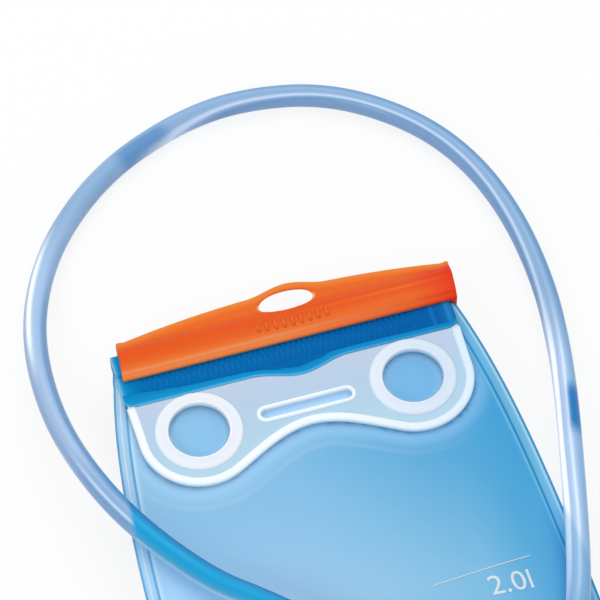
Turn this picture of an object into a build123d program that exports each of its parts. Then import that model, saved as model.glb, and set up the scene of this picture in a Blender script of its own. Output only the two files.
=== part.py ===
from build123d import *
from math import atan2, cos, degrees, exp, pi, sin, sqrt, tan
import os

os.makedirs("parts", exist_ok=True)

# A two litre water bag with a slide-on mouth closure, a grip tab with two finger rings, an outlet port with a
# quick-release elbow, a drinking hose and a twist valve under a dust cap.
# Frame: X across the bag, +Y towards the mouth, +Z out of the front. The bag lies on its back on z = 0, and the
# origin is under the middle of the bag with its closure. All lengths are in millimetres.

# ---- bag -------------------------------------------------------------------------------------------------
overall_length = 340.0          # bottom weld to the top of the slider's hang eye
bag_half_width = 89.5           # half the width between the outer edges of the side welds
mouth_flare = 2.0               # how much further than the lips the side welds would stand at the mouth
shoulder_run = 58.0             # how quickly the shoulders reach the full width
shoulder_start = 8.0            # the seam leaves the lips this far below the slider's lower edge
bottom_corner_radius = 38.0
flange_width = 5.5              # welded seam round the sides and the bottom
film = 0.6                      # thickness of each panel's film
weld_gap = 0.1                  # between the two films, and between a film and what is welded on it
front_rise = 19.0               # how far the front bulges above the seam
back_drop = 25.0                # how far the back would bulge below it without a floor
floor_press = 3.05              # how much of that the floor presses flat
dome_start = 17.0               # the films part this far below the slider's lower edge
front_crown = 215.0             # the front is highest this far below the slider's lower edge
back_flat_start = 150.0         # the back reaches its full depth here
back_flat_end = 232.0           # and keeps it up to here
dome_fullness = 0.7             # how steeply the films leave the seam, from 0 to 1
dome_lift = 0.1                 # step by which the filled part stands out of the flat seam at its ends

# ---- mouth lips --------------------------------------------------------------------------------------------
lip_drop = 12.3                 # how far the lip strips reach below the slider's lower edge
lip_dip = 4.2                   # the thumb dip in the front strip's lower edge
dip_half_width = 21.0
lip_thickness = 1.95
bead_thickness = 3.4            # the thick edge that the slider holds
bead_height = 10.0
bead_neck = 3.0                 # from the slider's lower edge to the thick edge
lip_corner_radius = 4.0
lip_tail = 2.1                  # the lips stick out of the slider's open end

# ---- slide-on closure --------------------------------------------------------------------------------------
slider_length = 145.0
slider_wall = 1.9               # over the channel
lower_lip_bevel = 1.6           # how much thinner the slider gets towards its lower edge
taper_length = 2.6              # from the channel's end to the thin web
crest_half_depth = 2.8          # half the thickness of the web above the channel
web_height = 3.4                # of the web at the slider's ends
arch_height = 5.2               # how much higher the back edge stands in the middle
eye_hump = 4.0                  # the extra height over the hang eye
hump_margin = 4.5               # the hump is this much longer than the eye at each end
eye_length = 25.0               # hang eye, an oval hole
eye_width = 10.2
eye_wall = 1.8                  # between the eye and the channel
eye_shift = 1.5                 # the eye stands this far from the slider's middle
end_wall = 2.8                  # closed end that stops the lips
slide_clearance = 0.3

# ---- grip tab ----------------------------------------------------------------------------------------------
ring_below_edge = 31.5          # from the slider's lower edge to the rings' centres and the slot
ring_inner_radius = 12.6
ring_band = 5.6                 # from a ring's hole to its outside
ring_thickness = 3.4
tab_plate = 1.2
bead_gap = 3.2                  # from a ring to the raised rim outside it
rim_width = 4.0
rim_thickness = 2.4
tab_waist = 7.0                 # from the slot's middle line to the tab's lower edge between the rings
tab_inset = 2.0                 # the tab is this much narrower than the lips at each end
tab_side_gap = 0.7              # and round the finger rings, where its rim is widest
tab_overlap = 3.4               # how far the tab lies on the front lip strip
slot_length = 43.6              # strap slot
slot_width = 4.8
slot_rim = 2.2

# ---- outlet port -------------------------------------------------------------------------------------------
port_from_bottom = 58.0         # the port's axis above the bottom weld's outer edge
port_rim_margin = 2.0           # how much wider the port's rim is than the body on it
port_rim_height = 2.8           # rim's top above the film at the port's axis
port_neck_wall = 1.7
port_neck_drop = 7.0            # how far the neck reaches into the bag
port_hole_gap = 0.4             # between the neck and the hole in the film
port_seal_thickness = 0.8
seal_inset = 0.8                # the flat seal is this much smaller than the body on it
body_radius = 14.0
body_bevel = 1.0
chamber_wall = 2.8
seat_drop = 1.0                 # from the plug's nose to the valve seat
seat_thickness = 2.0
seat_hole_radius = 3.6
poppet_inset = 1.0              # the poppet is this much smaller than its chamber
poppet_thickness = 1.6
poppet_travel = 2.6
stem_radius = 1.5
stem_drop = 2.6                 # how far the stem reaches below the poppet
stem_gap = 0.2                  # between the plug's nose and the stem when the plug is in
chamber_floor = 1.5
inlet_radius = 1.4              # four holes in the chamber's floor
inlet_circle = 4.2              # their distance from the axis
poppet_spring_radius = 2.4
poppet_spring_height = 3.6
spring_gap = 0.1                # at both ends of that spring
lock_ring_width = 2.6
lock_ring_thickness = 2.2

# ---- release button ----------------------------------------------------------------------------------------
button_travel = 2.2
button_width = 10.0
button_tall = 6.4
button_out = 2.6                # how far the button stands out of the port body
button_round = 2.0              # its upright corners
button_floor = 1.8              # wall under the button
button_roof = 1.4               # and over it
button_stop = 0.2               # spare room behind the pressed button
latch_plate = 1.6
latch_play = 0.8                # between the plug's spigot and the latch round it
latch_rim = 1.5                 # width of the latch's two prongs
latch_reach = 3.0               # how far the prongs reach past the port's axis
latch_drop = 0.8                # the latch lies this far under the button's top
latch_to_button = 3.3           # from the latch's play round the spigot to the button's inner face
spring_radius = 1.3             # the button's return spring
spring_above_floor = 2.2        # its axis above the button's underside
spring_length = 4.7
spring_bore_depth = 4.9
spring_wire = 0.5               # wire thickness of both springs

# ---- hose and plug -----------------------------------------------------------------------------------------
hose_radius = 5.0
hose_bore_radius = 3.2
spigot_radius = 5.9
spigot_drop = 14.8              # from the port body's top down to the plug's nose
hub_radius = 8.5
hub_height = 10.0
hub_round = 2.5
arm_free = 7.5                  # from the hub to the hose's end
barb_length = 12.0
water_bore_radius = 2.4
ring_wire_radius = 0.9          # section radius of the plug's sealing rings
ring_places = (2.2, 5.4)        # the rings above the plug's nose
groove_play = 1.1               # width of a ring's groove over the ring's
seal_gap = 0.05                 # between a sealing ring and its groove and bore
collar_wall = 1.75
collar_play = 0.15              # between a collar and the hose
collar_length = 12.0
collar_gap = 0.2                # between a collar and what the hose is pushed on
arc_share = 0.45                # share of the shorter run that each arc of the hose may use

# ---- drinking valve ----------------------------------------------------------------------------------------
adapter_radius = 7.0
adapter_flange = 4.0
adapter_bore_radius = 2.0
spindle_radius = 4.6
spindle_length = 13.0
spindle_cap = 2.0               # the spindle's closed end
spindle_port_radius = 1.2       # cross hole behind the closed end
spindle_port_inset = 3.6        # its axis from the spindle's end
valve_wire_radius = 0.7         # section radius of the spindle's sealing ring
valve_ring_inset = 4.0          # that ring from the adapter's flange
valve_play = 0.45               # between the spindle and the sleeve
sleeve_radius = 7.4
shoulder_width = 1.6            # ring on the sleeve that the dust cap's edge meets
sleeve_length = 13.7
sleeve_round = 1.0
sleeve_nose_radius = 6.0
sleeve_nose_length = 5.0
sleeve_outlet_radius = 3.0
bite_length = 16.2
bite_inset = 0.2                # the mouthpiece is this much slimmer than the sleeve
bite_waist_half = (6.9, 5.6)    # half width and half height in the mouthpiece's middle
bite_half_height = 4.6
bite_channel_radius = 2.6
bite_membrane = 3.0             # solid end of the mouthpiece, with a slit through it
bite_slit = 8.0                 # the slit's length
bite_slit_gap = 0.6
cap_wall = 0.9
cap_play = 1.1                  # between the sleeve and the dust cap round it
cap_overlap = 3.5               # how far the dust cap reaches over the sleeve
cap_gap = 1.7                   # between the mouthpiece's end and the cap
cap_round = 2.0

clearance = 0.3                 # between pieces that move past each other

# ---- derived places ----------------------------------------------------------------------------------------
lip_half_width = (slider_length + lip_tail - slide_clearance - end_wall) / 2
mouth_half_width = lip_half_width + mouth_flare
channel_low = bead_neck - slide_clearance             # heights above the slider's lower edge
channel_high = bead_neck + bead_height + slide_clearance
taper_end = channel_high + taper_length
slider_height = taper_end + web_height
crest_height = slider_height + arch_height + eye_hump
mouth_y = overall_length / 2 - crest_height           # the slider's lower edge
bottom_y = -overall_length / 2
bag_drop = mouth_y - bottom_y                         # from the slider's lower edge to the bottom weld
dome_end = bag_drop - flange_width
weld_height = back_drop - floor_press + weld_gap / 2  # the seam's middle plane above the floor
front_film_top = weld_height + weld_gap / 2 + film
back_film_bottom = weld_height - weld_gap / 2 - film
front_plate_low = front_film_top + weld_gap
back_plate_top = back_film_bottom - weld_gap
lip_top = front_plate_low + lip_thickness
bead_top = front_plate_low + bead_thickness
neck_half = lip_top - weld_height + slide_clearance
channel_half = bead_top - weld_height + slide_clearance
slider_half_depth = channel_half + slider_wall
slider_end_x = lip_half_width + slide_clearance + end_wall
slider_start_x = slider_end_x - slider_length
slider_mid_x = slider_end_x - slider_length / 2
eye_x = slider_mid_x + eye_shift
eye_y = mouth_y + channel_high + eye_wall + eye_width / 2
hump_half_length = eye_length / 2 + hump_margin
ring_outer_radius = ring_inner_radius + ring_band
port_y = bottom_y + port_from_bottom
plug_bore_radius = spigot_radius + clearance
chamber_radius = plug_bore_radius + chamber_wall
chamber_bore = chamber_radius + clearance             # hole in the port for the chamber
port_neck_radius = chamber_bore + port_neck_wall
port_rim_radius = body_radius + port_rim_margin
poppet_radius = plug_bore_radius - poppet_inset
latch_slot = spigot_radius + latch_play               # half the width between the latch's prongs
body_height = button_floor + button_tall + button_roof
barb_radius = hose_bore_radius - weld_gap
arm_reach = hub_radius + arm_free
collar_bore = hose_radius + collar_play
collar_radius = collar_bore + collar_wall
cap_radius = sleeve_radius + cap_play + cap_wall
wide = overall_length                                 # half the size of blocks that cut right across


def half_width(drop, inset=0.0):
    """Half the bag's width at a distance below the slider's edge, inset from the seam's outer edge."""
    width = bag_half_width - (bag_half_width - mouth_half_width) * exp(-max(drop, 0.0) / shoulder_run) - inset
    radius = bottom_corner_radius - inset
    left = bag_drop - inset - drop
    if left < radius:
        width -= radius - sqrt(max(radius ** 2 - (radius - left) ** 2, 0.0))
    return width


def pillow(drop, height, crown_start, crown_end, steepness):
    """Height of a filled film: it eases up from the mouth, stays level and rounds off at the bottom."""
    if drop <= dome_start or drop >= dome_end:
        return 0.0
    if drop < crown_start:
        return height * sin(pi / 2 * (drop - dome_start) / (crown_start - dome_start)) ** steepness
    if drop <= crown_end:
        return height
    return height * (1 - ((drop - crown_end) / (dome_end - crown_end)) ** 2.6)


def front_height(drop):
    return pillow(drop, front_rise, front_crown, front_crown, 2.2)


def back_height(drop):
    return pillow(drop, back_drop, back_flat_start, back_flat_end, 1.7)


def dome(height, base, up, inset, lift, skirt):
    """Solid under a filled film: lens sections along the bag, with a skirt of straight sides below the seam."""
    sections = []
    for share in (0.0, 0.07, 0.15, 0.25, 0.37, 0.5, 0.62, 0.72, 0.82, 0.9, 0.95, 0.985, 1.0):
        drop = dome_start + (dome_end - dome_start) * share
        half = half_width(drop, flange_width + inset)
        top = base + up * (height(drop) + lift) * 4 / 3
        foot = base - up * skirt
        y = mouth_y - drop
        side = half * dome_fullness
        over = Bezier((-half, y, base), (-side, y, top), (side, y, top), (half, y, base))
        if skirt:
            under = Polyline((half, y, base), (half, y, foot), (-half, y, foot), (-half, y, base))
        else:
            under = Line((half, y, base), (-half, y, base))
        sections.append(Face(Wire([over, *under.edges()])))
    return loft(sections=sections)


# ---- plain shapes ------------------------------------------------------------------------------------------
def disc(radius, z_low, z_high, x=0.0, y=0.0):
    """Upright cylinder between two heights."""
    return Pos(x, y, (z_low + z_high) / 2) * Cylinder(radius, z_high - z_low)


def tube(outer, inner, z_low, z_high, x=0.0, y=0.0):
    """Upright ring between two heights."""
    return disc(outer, z_low, z_high, x, y) - disc(inner, z_low - 1, z_high + 1, x, y)


def block(x_low, x_high, y_low, y_high, z_low, z_high):
    """Box between corner coordinates."""
    box = Box(x_high - x_low, y_high - y_low, z_high - z_low)
    return Pos((x_low + x_high) / 2, (y_low + y_high) / 2, (z_low + z_high) / 2) * box


def slab(outline, z_low, thickness):
    """Outline in the XY plane made into a plate that starts at z_low and grows upwards."""
    return Pos(0, 0, z_low) * extrude(outline, thickness, dir=(0, 0, 1))


def along(radius, x_low, x_high, z=0.0):
    """Cylinder along X between two stations."""
    return Pos((x_low + x_high) / 2, 0, z) * (Rot(0, 90, 0) * Cylinder(radius, x_high - x_low))


def sleeve(outer, inner, x_low, x_high, z=0.0):
    """Ring along X between two stations."""
    return along(outer, x_low, x_high, z) - along(inner, x_low - 1, x_high + 1, z)


def coil(radius, wire, height, turns):
    """Compression spring standing on z = 0."""
    path = Helix(pitch=(height - wire) / turns, height=height - wire, radius=radius - wire / 2)
    section = Plane(origin=path @ 0, z_dir=path % 0) * Circle(wire / 2)
    return Pos(0, 0, wire / 2) * sweep(section, path=path)


def mirrored(right):
    """Face between a chain of edges on the right and its mirror image on the left."""
    left = [edge.mirror(Plane.YZ) for edge in right]
    return Face(Wire(right + left))


# ---- panels ------------------------------------------------------------------------------------------------
def weld_outline():
    """Outline of the seam, from the lips' top edge to the bottom weld."""
    straight_end = bag_drop - bottom_corner_radius
    run = straight_end - shoulder_start
    drops = [shoulder_start + run * share for share in (0.0, 0.064, 0.158, 0.309, 0.535, 1.0)]
    points = [(half_width(drop), mouth_y - drop) for drop in drops]
    top_y = mouth_y + bead_neck + bead_height
    corner_x = points[-1][0] - bottom_corner_radius
    turn = bottom_corner_radius * cos(pi / 4)
    corner_middle = (corner_x + turn, bottom_y + bottom_corner_radius - turn)
    return mirrored([
        Line((0, top_y), (lip_half_width, top_y)),
        Line((lip_half_width, top_y), (lip_half_width, mouth_y - slide_clearance)),
        Line((lip_half_width, mouth_y - slide_clearance), points[0]),
        Spline(points),
        ThreePointArc(points[-1], corner_middle, (corner_x, bottom_y)),
        Line((corner_x, bottom_y), (0, bottom_y)),
    ])


front_base = front_film_top - film
front_dome = dome(front_height, front_base + film / 2, 1, 0.0, film / 2 + dome_lift, film / 4)


def front_panel():
    hollow = dome(front_height, front_base, 1, 1.5 * film, dome_lift, 1.0)
    port_hole = disc(port_neck_radius + port_hole_gap, weld_height, weld_height + wide, 0, port_y)
    return slab(weld_outline(), front_base, film) + front_dome - hollow - port_hole


def back_panel():
    """Back film, with the part that rests on the floor pressed flat."""
    base = back_film_bottom + film
    outer = dome(back_height, base, -1, 0.0, film + dome_lift, 0.0)
    outer &= block(-wide, wide, -wide, wide, 0, wide)
    inner = dome(back_height, base, -1, 1.5 * film, dome_lift, 1.0)
    inner &= block(-wide, wide, -wide, wide, film, wide)
    return slab(weld_outline(), back_film_bottom, film) + outer - inner


# ---- mouth lips --------------------------------------------------------------------------------------------
lip_edge_y = mouth_y - lip_drop
bead_low_y = mouth_y + bead_neck
bead_high_y = bead_low_y + bead_height


def lip_outline(dip):
    """Strip's outline in plan: straight top, rounded lower corners, and a thumb dip if asked for."""
    lower_right, lower_left = (lip_half_width, lip_edge_y), (-lip_half_width, lip_edge_y)
    edges = [
        Line(lower_left, (-lip_half_width, bead_high_y)),
        Line((-lip_half_width, bead_high_y), (lip_half_width, bead_high_y)),
        Line((lip_half_width, bead_high_y), lower_right),
    ]
    if dip:
        dip_right = (slider_mid_x + dip_half_width, lip_edge_y)
        dip_left = (slider_mid_x - dip_half_width, lip_edge_y)
        lowest = (slider_mid_x, lip_edge_y - dip)
        edges.append(Line(lower_right, dip_right))
        edges.append(Spline([dip_right, lowest, dip_left], tangents=[(-1, 0), (-1, 0)]))
        edges.append(Line(dip_left, lower_left))
    else:
        edges.append(Line(lower_right, lower_left))
    outline = Face(Wire(edges))
    corners = [v for v in outline.vertices() if abs(v.X) > slider_mid_x + dip_half_width + 1 and v.Y < mouth_y]
    return outline.fillet_2d(lip_corner_radius, corners)


def lip_bead(z_low, z_high, group):
    """Thick edge that the slider holds, rounded on its outer face."""
    bead = block(-lip_half_width, lip_half_width, bead_low_y, bead_high_y, z_low, z_high)
    return fillet(bead.edges().filter_by(Axis.X).group_by(Axis.Z)[group], bead_thickness * 0.4)


def front_lip_strip():
    return slab(lip_outline(lip_dip), front_plate_low, lip_thickness) + lip_bead(front_plate_low, bead_top, -1)


def back_lip_strip():
    strip = slab(lip_outline(0.0), back_plate_top - lip_thickness, lip_thickness)
    return strip + lip_bead(back_plate_top - bead_thickness, back_plate_top, 0)


# ---- slider ------------------------------------------------------------------------------------------------
def slider_section():
    """Section across the slider: bevelled lower lips, full depth over the channel and a thinner web above it."""
    profile = [
        (0.0, slider_half_depth - lower_lip_bevel),
        (1.25 * lower_lip_bevel, slider_half_depth),
        (channel_high - slider_wall, slider_half_depth),
        (taper_end, crest_half_depth),
        (slider_height, crest_half_depth),
    ]
    upper = [(slider_start_x, mouth_y + up, weld_height + out) for up, out in profile]
    lower = [(slider_start_x, mouth_y + up, weld_height - out) for up, out in reversed(profile)]
    return Face(Wire(Polyline(*upper, *lower, close=True).edges()))


def crest_top(share):
    """Point on the back edge at a share of the half length: a shallow arch with a hump over the hang eye."""
    across = slider_length / 2 * share
    hump = cos(pi / 2 * min(abs(across) / hump_half_length, 1.0)) ** 2
    return (slider_mid_x + across, mouth_y + slider_height + arch_height * (1 - share ** 2) + eye_hump * hump)


def crest_outline():
    """Plan of the web above the channel."""
    low = mouth_y + taper_end - taper_length / 2
    shares = [-1.0, -0.8, -0.6, -0.42, -0.3, -0.2, -0.12, 0.0, 0.12, 0.2, 0.3, 0.42, 0.6, 0.8, 1.0]
    top = Spline([crest_top(share) for share in shares])
    ends = [crest_top(1.0), (slider_end_x, low), (slider_start_x, low), crest_top(-1.0)]
    return Face(Wire([top, *Polyline(*ends).edges()]))


def closure_slider():
    x_low, x_high = slider_start_x - 1, lip_half_width + slide_clearance
    low_z, high_z = weld_height - channel_half, weld_height + channel_half
    channel = block(x_low, x_high, mouth_y + channel_low, mouth_y + channel_high, low_z, high_z)
    low_z, high_z = weld_height - neck_half, weld_height + neck_half
    neck = block(x_low, x_high, mouth_y - 1, mouth_y + channel_low + 0.5, low_z, high_z)
    crest = slab(crest_outline(), weld_height - crest_half_depth, 2 * crest_half_depth)
    eye = slab(Pos(eye_x, eye_y) * Ellipse(eye_length / 2, eye_width / 2), 0, 2 * weld_height)
    body = extrude(slider_section(), slider_length, dir=(1, 0, 0))
    return body + crest - channel - neck - eye


# ---- grip tab ----------------------------------------------------------------------------------------------
tab_low = lip_top + weld_gap
ring_y = mouth_y - ring_below_edge
tab_round = ring_outer_radius + bead_gap + rim_width   # the tab's outside about each ring's centre
ring_x = lip_half_width - tab_side_gap - tab_round


def tab_outline(inset):
    """Plan of the tab: round about each finger ring, waisted between them and wide at the lips."""
    radius = tab_round - inset
    tab_top_y = lip_edge_y + tab_overlap
    start = (lip_half_width - tab_inset - inset, tab_top_y)

    def on_ring(angle):
        return (ring_x + radius * cos(angle), ring_y + radius * sin(angle))

    touch, low, leave = 0.12, -1.35, -2.05
    return mirrored([
        Line((0, tab_top_y), start),
        Spline([start, on_ring(touch)], tangents=[(0.05, -1), (sin(touch), -cos(touch))]),
        ThreePointArc(on_ring(touch), on_ring(low), on_ring(leave)),
        Spline([on_ring(leave), (0, ring_y - tab_waist + inset)], tangents=[(sin(leave), -cos(leave)), (-1, 0)]),
    ])


def grip_tab():
    """Welded tab: a thin sheet with a raised rim, two thick finger rings and a strap slot in a rim of its own."""
    above = tab_low + ring_thickness + 1
    rim = slab(tab_outline(0.0), tab_low, rim_thickness)
    rim -= slab(tab_outline(rim_width), tab_low - 1, rim_thickness + 2)
    rim -= block(-wide, wide, lip_edge_y - slide_clearance, mouth_y, tab_low - 1, above)
    tab = slab(tab_outline(0.0), tab_low, tab_plate) + rim
    slot_rim_plan = SlotOverall(slot_length + 2 * slot_rim, slot_width + 2 * slot_rim)
    tab += slab(Pos(0, ring_y) * slot_rim_plan, tab_low, rim_thickness)
    for x in (-ring_x, ring_x):
        tab += disc(ring_outer_radius, tab_low, tab_low + ring_thickness, x, ring_y)
    for x in (-ring_x, ring_x):
        tab -= disc(ring_inner_radius, tab_low - 1, above, x, ring_y)
    return tab - slab(Pos(0, ring_y) * SlotOverall(slot_length, slot_width), tab_low - 1, rim_thickness + 2)


# ---- outlet port -------------------------------------------------------------------------------------------
port_film = front_film_top + dome_lift + front_height(mouth_y - port_y)
rim_top = port_film + port_rim_height
neck_low = port_film - port_neck_drop
seal_low = rim_top + weld_gap
base_z = seal_low + port_seal_thickness + weld_gap
top_z = base_z + body_height
nose_z = top_z - spigot_drop
seat_top = nose_z - seat_drop
seat_low = seat_top - seat_thickness
poppet_top = seat_low - poppet_travel - clearance
poppet_low = poppet_top - poppet_thickness
poppet_spring_low = poppet_low - spring_gap - poppet_spring_height
chamber_inside = poppet_spring_low - spring_gap
chamber_low = chamber_inside - chamber_floor


def port_flange():
    """Rim welded on the film, with a neck that reaches through it."""
    rim = disc(port_rim_radius, weld_height + front_rise / 2, rim_top, 0, port_y)
    rim -= Pos(0, 0, 1.5 * weld_gap) * front_dome
    rim += disc(port_neck_radius, neck_low, rim_top, 0, port_y)
    return rim - disc(chamber_bore, neck_low - 1, rim_top + 1, 0, port_y)


def port_seal():
    return tube(body_radius - seal_inset, chamber_bore, seal_low, seal_low + port_seal_thickness, 0, port_y)


def port_lock_ring():
    """Ring on the chamber that holds the body in the port from inside the bag."""
    bore = chamber_radius + weld_gap
    top = neck_low - weld_gap
    return tube(bore + lock_ring_width, bore, top - lock_ring_thickness, top, 0, port_y)


# the button and its latch are set out in the body's own frame, with the port's axis on Z and the button at -Y
button_low = base_z + button_floor
button_high = button_low + button_tall
button_back = -(latch_slot + latch_to_button)
button_front = -(body_radius + button_out)
pocket_end = button_back + button_travel + button_stop
latch_high = button_high - latch_drop
latch_low = latch_high - latch_plate
latch_half = latch_slot + latch_rim


def button_room():
    """Room in the body for the button and its latch, over their whole travel."""
    half = button_width / 2 + clearance
    low_z, high_z = button_low - clearance, button_high + clearance
    room = block(-half, half, -body_radius - 1, pocket_end, low_z, high_z)
    half = latch_half + clearance
    room_end = latch_reach + button_travel + button_stop
    return room + block(-half, half, button_back - 2 * clearance, room_end, latch_low - clearance, latch_high + clearance)


def port_body():
    """Upper body with the plug's bore, and the valve chamber that hangs below it into the bag."""
    body = disc(body_radius, base_z, top_z)
    body = chamfer(body.edges().group_by(Axis.Z)[-1], body_bevel)
    body += disc(chamber_radius, chamber_low, base_z)
    body -= disc(plug_bore_radius, seat_top, top_z + 1)
    body -= disc(seat_hole_radius, seat_low - 1, top_z)
    body -= disc(plug_bore_radius, chamber_inside, seat_low)
    for turn in (45, 135, 225, 315):
        body -= Rot(0, 0, turn) * disc(inlet_radius, chamber_low - 1, chamber_inside + 1, inlet_circle)
    return Pos(0, port_y, 0) * (body - button_room())


def release_button():
    """Button with a forked latch astride the plug's spigot, and a blind bore for its return spring."""
    half = button_width / 2
    button = block(-half, half, button_front, button_back, button_low, button_high)
    button = fillet(button.edges().filter_by(Axis.Z).group_by(Axis.Y)[0], button_round)
    button += block(-latch_half, latch_half, button_back - clearance, latch_reach, latch_low, latch_high)
    slot_end = -(latch_slot + button_travel)
    button -= block(-latch_slot, latch_slot, slot_end, latch_reach + 1, latch_low - 1, latch_high + 1)
    bore = Rot(90, 0, 0) * disc(spring_radius + 0.8 * clearance, -1, spring_bore_depth)
    return Pos(0, port_y, 0) * (button - Pos(0, button_back, button_low + spring_above_floor) * bore)


def button_spring():
    spring = Rot(90, 0, 0) * coil(spring_radius, spring_wire, spring_length, 4)
    return Pos(0, port_y + pocket_end - seal_gap, button_low + spring_above_floor) * spring


def check_poppet():
    """Disc that shuts the port when the plug is out, with a stem that the plug pushes down."""
    poppet = disc(poppet_radius, poppet_low, poppet_top, 0, port_y)
    return poppet + disc(stem_radius, poppet_low - stem_drop, nose_z - stem_gap, 0, port_y)


def poppet_spring():
    return Pos(0, port_y, poppet_spring_low) * coil(poppet_spring_radius, spring_wire, poppet_spring_height, 5)


# ---- hose --------------------------------------------------------------------------------------------------
arm_z = top_z + clearance + hub_height / 2
valve_z = 51.5
hose_route = [
    (38, -80, arm_z), (59, -50, 47), (75, -18, 34.5), (85, 11, 29.5), (95, 47, 24.5), (105, 83, 15.5),
    (112, 113, 9), (117, 148, 5.2), (115, 187, 5), (105, 221, 5), (86, 248, 5), (55, 270, 5), (17, 277, 5),
    (-14, 272, 5), (-48, 257, 5), (-76, 231, 6.3), (-93, 201, 9.8), (-101, 169, 14.7), (-101, 131, 20.7),
    (-92, 95, 26.2), (-79, 67, 29.3), (-60, 38, 33.5), (-45, 19.5, 43.5), (-31, 1, valve_z), (-16, -19, valve_z),
]
arm_turn = atan2(hose_route[0][1] - port_y, hose_route[0][0])
hose_start = (arm_reach * cos(arm_turn), port_y + arm_reach * sin(arm_turn), arm_z)
hose_points = [Vector(*point) for point in [hose_start, *hose_route]]
valve_way = hose_points[-1] - hose_points[-2]
plug_place = Pos(0, port_y, 0) * Rot(0, 0, degrees(arm_turn))
valve_place = Pos(*hose_points[-1]) * Rot(0, 0, degrees(atan2(valve_way.Y, valve_way.X)))


def hose():
    """Hose along its whole route: straight runs joined by arcs as large as the runs allow."""
    runs = [b - a for a, b in zip(hose_points, hose_points[1:])]
    radii = []
    for before, after in zip(runs, runs[1:]):
        turn = before.get_angle(after) * pi / 180
        radii.append(arc_share * min(before.length, after.length) / tan(turn / 2))
    path = FilletPolyline(*hose_points, radius=radii)
    tube_body = sweep(Plane(origin=path @ 0, z_dir=path % 0) * Circle(hose_radius), path=path)
    share = tube_body.volume / (pi * hose_radius ** 2 * path.length)
    print("hose length", round(path.length, 1), "radii", [round(radius) for radius in radii])
    print("hose volume over section times length", round(share, 4))
    tube_body -= plug_place * along(hose_bore_radius, arm_reach - 1, arm_reach + barb_length + clearance, arm_z)
    return tube_body - valve_place * along(hose_bore_radius, -barb_length - clearance, 1)


def hose_collar():
    start = arm_reach + collar_gap
    return plug_place * sleeve(collar_radius, collar_bore, start, start + collar_length, arm_z)


def valve_collar():
    return valve_place * sleeve(collar_radius, collar_bore, -collar_gap - collar_length, -collar_gap)


# ---- plug elbow, in its own frame with the arm along X -----------------------------------------------------
plug_ring_middle = plug_bore_radius - seal_gap - ring_wire_radius
plug_ring_heights = [nose_z + place for place in ring_places]


def plug_elbow():
    """Spigot with two ring grooves, a round hub and a side arm with a barb inside the hose."""
    hub_low = top_z + clearance
    elbow = disc(hub_radius, hub_low, hub_low + hub_height)
    elbow = fillet(elbow.edges().group_by(Axis.Z)[-1], hub_round)
    elbow += disc(spigot_radius, nose_z, hub_low)
    elbow += along(hose_radius, 0, arm_reach, arm_z)
    elbow += along(barb_radius, arm_reach - 1, arm_reach + barb_length, arm_z)
    groove_floor = plug_ring_middle - ring_wire_radius - seal_gap
    half_groove = groove_play * ring_wire_radius
    for z in plug_ring_heights:
        elbow -= tube(spigot_radius + 1, groove_floor, z - half_groove, z + half_groove)
    elbow -= disc(water_bore_radius, nose_z - 1, arm_z)
    elbow -= along(water_bore_radius, 0, arm_reach + barb_length + 1, arm_z)
    return plug_place * elbow


def plug_o_rings():
    rings = [Pos(0, 0, z) * Torus(plug_ring_middle, ring_wire_radius) for z in plug_ring_heights]
    return Compound(children=[plug_place * ring for ring in rings])


# ---- drinking valve, in its own frame with the mouthpiece along +X -----------------------------------------
spindle_end = adapter_flange + spindle_length
valve_ring_x = adapter_flange + valve_ring_inset
valve_bore = spindle_radius + valve_play
valve_ring_middle = valve_bore - seal_gap - valve_wire_radius
sleeve_start = adapter_flange + clearance
sleeve_end = sleeve_start + sleeve_length
nose_end = sleeve_end + sleeve_nose_length
bite_start = sleeve_end + bite_inset
bite_end = bite_start + bite_length
bite_radius = sleeve_radius - bite_inset


def valve_adapter():
    """Barb in the hose, a flange, and the spindle that the sleeve turns on."""
    adapter = along(adapter_radius, 0, adapter_flange) + along(barb_radius, -barb_length, 0)
    adapter += along(spindle_radius, adapter_flange, spindle_end)
    groove_floor = valve_ring_middle - valve_wire_radius - seal_gap
    half_groove = groove_play * valve_wire_radius
    adapter -= sleeve(spindle_radius + 1, groove_floor, valve_ring_x - half_groove, valve_ring_x + half_groove)
    adapter -= along(adapter_bore_radius, -barb_length - 1, spindle_end - spindle_cap)
    cross_hole = Pos(spindle_end - spindle_port_inset, 0, 0) * Cylinder(spindle_port_radius, 2 * sleeve_radius)
    return valve_place * (adapter - cross_hole)


def valve_o_ring():
    return valve_place * (Pos(valve_ring_x, 0, 0) * (Rot(0, 90, 0) * Torus(valve_ring_middle, valve_wire_radius)))


def valve_sleeve():
    """Sleeve that turns on the spindle to open and shut the valve, with a nose for the mouthpiece."""
    body = along(sleeve_radius, sleeve_start, sleeve_end)
    body = fillet(body.edges().group_by(Axis.X)[0], sleeve_round)
    shoulder_end = sleeve_end - cap_overlap - clearance
    body += along(cap_radius, shoulder_end - shoulder_width, shoulder_end)
    body += along(sleeve_nose_radius, sleeve_end - 1, nose_end)
    body -= along(valve_bore, sleeve_start - 1, spindle_end + clearance)
    return valve_place * (body - along(sleeve_outlet_radius, spindle_end, nose_end + 1))


def mouthpiece():
    """Soft mouthpiece: round at the sleeve, flat at the end, with a slit through its membrane."""
    root = nose_end + clearance
    places = (root, (root + bite_end) / 2, bite_end)
    shapes = (Circle(bite_radius), Ellipse(*bite_waist_half), Ellipse(bite_radius - bite_inset, bite_half_height))
    planes = [Plane(origin=(x, 0, 0), z_dir=(1, 0, 0), x_dir=(0, 1, 0)) for x in places]
    body = along(bite_radius, bite_start, root) + loft(sections=[p * shape for p, shape in zip(planes, shapes)])
    body -= along(sleeve_nose_radius + weld_gap, bite_start - 1, nose_end + weld_gap)
    body -= along(bite_channel_radius, nose_end, bite_end - bite_membrane)
    return valve_place * (body - Pos(bite_end, 0, 0) * Box(4 * bite_membrane, bite_slit, bite_slit_gap))


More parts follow.
